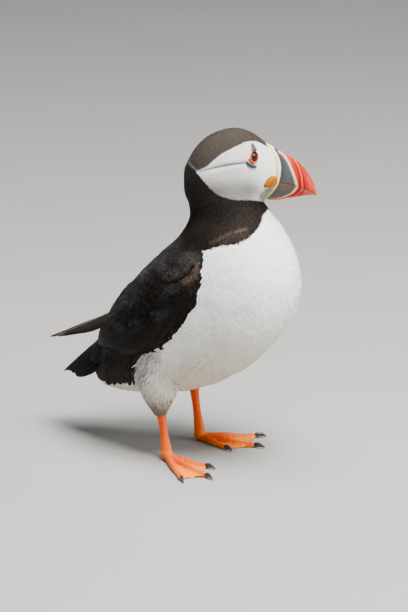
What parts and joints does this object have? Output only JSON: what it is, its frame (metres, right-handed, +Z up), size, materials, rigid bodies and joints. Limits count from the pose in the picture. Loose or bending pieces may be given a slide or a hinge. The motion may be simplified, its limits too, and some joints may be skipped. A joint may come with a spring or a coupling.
{
  "type": "atlantic puffin model",
  "caption": "Life-size still model of an adult Atlantic puffin in breeding dress, standing on both feet with its head turned to its left.",
  "frame": {"origin": "on the floor under the middle of the bird's bounding box, at the level of the soles", "axes": "+X the way the body and breast face, +Y to the bird's left, +Z up; the head is turned 35 degrees from +X towards +Y"},
  "size_m": [0.2012, 0.1202, 0.2381],
  "materials": {
    "white_feather": "matt, soft",
    "black_feather": "matt with a slight sheen",
    "cap_feather": "matt, velvety",
    "face_feather": "matt, silky",
    "bill_horn": "satin horn, grooved",
    "cere": "satin, finely pitted",
    "rosette": "satin, wrinkled",
    "orbital_ring": "satin",
    "eye_plate": "satin, horny",
    "eye": "polished",
    "leg_skin": "satin, scaled",
    "claw": "satin"
  },
  "bodies": {
    "root": {"bill_band": "cere", "bill_lower": "bill_horn", "bill_upper": "bill_horn", "claw_left_inner": "claw", "claw_left_middle": "claw", "claw_left_outer": "claw", "claw_right_inner": "claw", "claw_right_middle": "claw", "claw_right_outer": "claw", "eye_left": "eye", "eye_right": "eye", "face_left": "face_feather", "face_right": "face_feather", "foot_left": "leg_skin", "foot_right": "leg_skin", "head": "cap_feather", "lower_plate_left": "eye_plate", "lower_plate_right": "eye_plate", "mantle": "black_feather", "neck": "black_feather", "orbital_ring_left": "orbital_ring", "orbital_ring_right": "orbital_ring", "primaries_left": "black_feather", "primaries_right": "black_feather", "rosette_left": "rosette", "rosette_right": "rosette", "shank_left": "leg_skin", "shank_right": "leg_skin", "tail": "black_feather", "thigh_left": "white_feather", "thigh_right": "white_feather", "trunk": "white_feather", "upper_plate_left": "eye_plate", "upper_plate_right": "eye_plate", "wing_left": "black_feather", "wing_right": "black_feather"}
  },
  "joints": []
}
